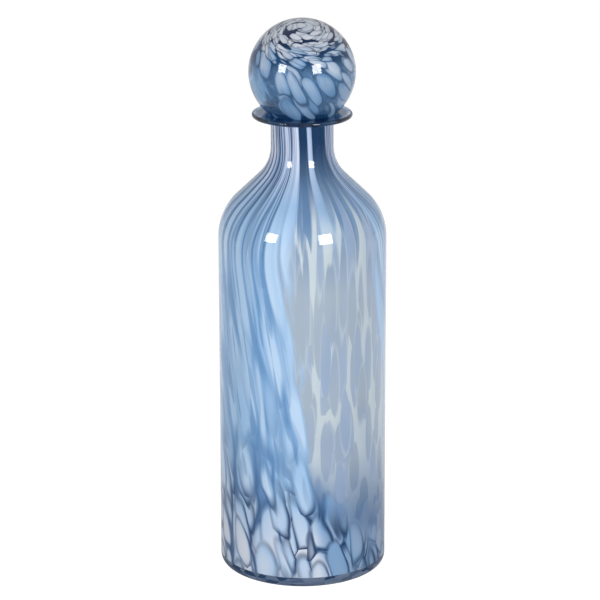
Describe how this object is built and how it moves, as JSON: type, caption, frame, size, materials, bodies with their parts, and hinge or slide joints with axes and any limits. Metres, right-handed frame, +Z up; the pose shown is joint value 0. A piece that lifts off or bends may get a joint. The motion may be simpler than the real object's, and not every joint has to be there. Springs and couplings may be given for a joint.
{
  "type": "ball-stopper bottle",
  "caption": "Shouldered cased-glass bottle with a flat applied lip and a hollow glass ball stopper whose tubular stem hangs in the neck.",
  "frame": {"origin": "centre of the flat underside of the base", "axes": "+Z up along the bottle's axis, towards the ball; -Y faces the picture's camera"},
  "size_m": [0.13, 0.13, 0.4375],
  "materials": {
    "casing_glass": "clear pale blue-grey blown glass, fire-polished",
    "chip_glass": "opal white and lavender chips drawn out in blue glass",
    "lip_glass": "plain clear blue-grey glass, fire-polished edge, ground ball seat",
    "ball_casing_glass": "clear blue blown glass, fire-polished",
    "ball_chip_glass": "lavender-white chips drawn to a swirl at the top, in blue glass",
    "stem_glass": "clear blue drawn glass tube with a fire-polished end"
  },
  "bodies": {
    "bottle": {"bottle_casing": "casing_glass", "bottle_chip_layer": "chip_glass", "lip_flange": "lip_glass"},
    "stopper": {"stopper_stem": "stem_glass"},
    "stopper_ball": {"ball_casing": "ball_casing_glass", "ball_chip_layer": "ball_chip_glass"}
  },
  "joints": [
    {"name": "stopper_lift", "type": "slide", "parent": "bottle", "child": "stopper", "axis": [0, 0, 1], "range_m": [0, 0.06]},
    {"name": "stopper_turn", "type": "hinge", "parent": "stopper", "child": "stopper_ball", "pos_m": [0, 0, 0.396], "axis": [0, 0, 1], "continuous": true}
  ]
}
